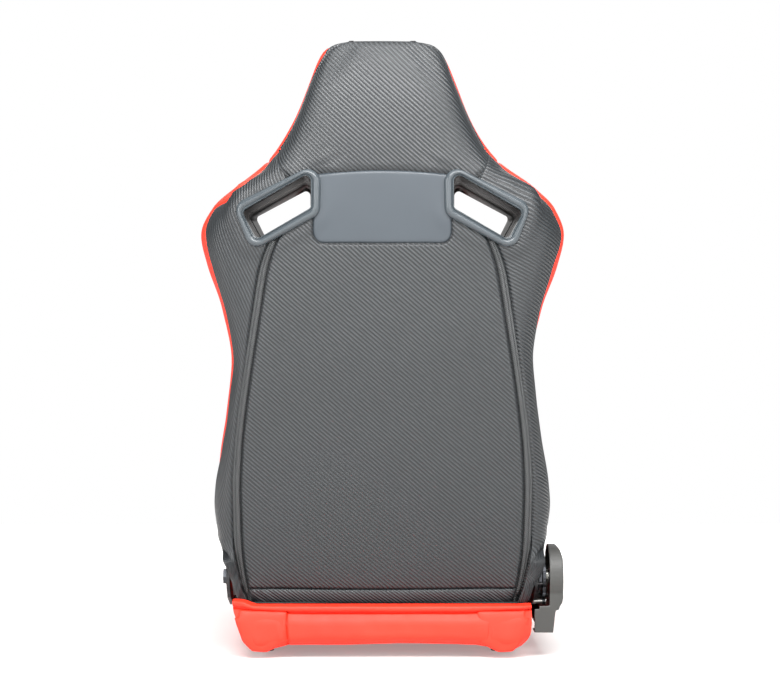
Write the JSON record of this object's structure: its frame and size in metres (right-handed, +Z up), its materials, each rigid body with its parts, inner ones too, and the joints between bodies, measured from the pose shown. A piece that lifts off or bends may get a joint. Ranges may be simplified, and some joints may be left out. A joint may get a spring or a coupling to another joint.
{
  "type": "racing seat",
  "caption": "Reclining sport seat with padded bolsters, harness openings in the backrest and a side recline lever.",
  "frame": {"origin": "centre of the four-bolt base pattern, on the underside of the base bosses", "axes": "+Y is the way the sitter faces, +X is the sitter's right (the recline lever's side), +Z is up"},
  "size_m": [0.5757, 0.6627, 0.9654],
  "materials": {
    "foam": "open-cell polyurethane foam",
    "satin_plastic": "satin moulded",
    "cover_plastic": "fine grain",
    "lever_plastic": "fine grain",
    "smooth_vinyl": "smooth coated vinyl",
    "twill_vinyl": "embossed twill vinyl",
    "red_leatherette": "soft satin",
    "board": "pressed fibre",
    "zinc_steel": "zinc plated",
    "spring_steel": "oiled wire",
    "clip_plastic": "moulded nylon",
    "black_steel": "powder coated"
  },
  "bodies": {
    "base": {"arm_bolts": "zinc_steel", "arm_spacers": "black_steel", "base_tubes": "black_steel", "cushion_centre_foam": "foam", "cushion_centre_panel": "red_leatherette", "cushion_rear_panel": "red_leatherette", "hinge_bolt": "zinc_steel", "hinge_lower_arm": "black_steel", "hinge_nut": "zinc_steel", "lever_return_spring": "spring_steel", "mounting_bosses": "black_steel", "pawl_pin": "zinc_steel", "recliner_cover": "cover_plastic", "recliner_cover_screws": "zinc_steel", "recliner_lower_arm": "black_steel", "seat_spring_clips": "clip_plastic", "seat_springs": "spring_steel", "side_member_left": "black_steel", "side_member_right": "black_steel", "spiral_spring": "spring_steel", "thigh_bolster_cover_left": "red_leatherette", "thigh_bolster_cover_right": "red_leatherette", "thigh_bolster_foam_left": "foam", "thigh_bolster_foam_right": "foam"},
    "backrest": {"back_board": "board", "back_bolster_cover_left": "red_leatherette", "back_bolster_cover_right": "red_leatherette", "back_centre_foam": "foam", "back_centre_panel": "red_leatherette", "back_cross_tube_lower": "black_steel", "back_cross_tube_upper": "black_steel", "back_hoop": "black_steel", "back_spring_clips": "clip_plastic", "back_springs": "spring_steel", "harness_rim_front_left": "satin_plastic", "harness_rim_front_right": "satin_plastic", "harness_rim_rear_left": "satin_plastic", "harness_rim_rear_right": "satin_plastic", "headrest_cover_front": "red_leatherette", "headrest_foam": "foam", "hinge_upper_arm": "black_steel", "rear_centre_panel": "twill_vinyl", "rear_head_panel": "twill_vinyl", "rear_hem_strip": "twill_vinyl", "rear_side_panel_left": "twill_vinyl", "rear_side_panel_right": "twill_vinyl", "rear_yoke_panel": "smooth_vinyl", "rear_zip_left": "twill_vinyl", "rear_zip_right": "twill_vinyl", "recliner_upper_arm": "black_steel", "shoulder_foam_left": "foam", "shoulder_foam_right": "foam", "toothed_sector": "black_steel", "torso_bolster_foam_left": "foam", "torso_bolster_foam_right": "foam"},
    "lever": {"recline_lever": "lever_plastic", "lever_shaft": "zinc_steel", "lever_screw": "zinc_steel"},
    "pawl": {"recliner_pawl": "black_steel"}
  },
  "joints": [
    {"name": "backrest_recline", "type": "hinge", "parent": "base", "child": "backrest", "pos_m": [0, -0.205, 0.125], "axis": [1, 0, 0], "range_deg": [-25, 50]},
    {"name": "lever_pull", "type": "hinge", "parent": "base", "child": "lever", "pos_m": [0.28, -0.205, 0.125], "axis": [1, 0, 0], "range_deg": [0, 26], "stiffness_Nm_per_rad": 1.2, "springref_deg": -14.32},
    {"name": "pawl_release", "type": "hinge", "parent": "base", "child": "pawl", "pos_m": [0.26, -0.20357, 0.08402], "axis": [1, 0, 0], "range_deg": [-4, 0]}
  ],
  "couplings": [
    {"joint": "pawl_release", "follows": "lever_pull", "ratio": -0.15}
  ]
}
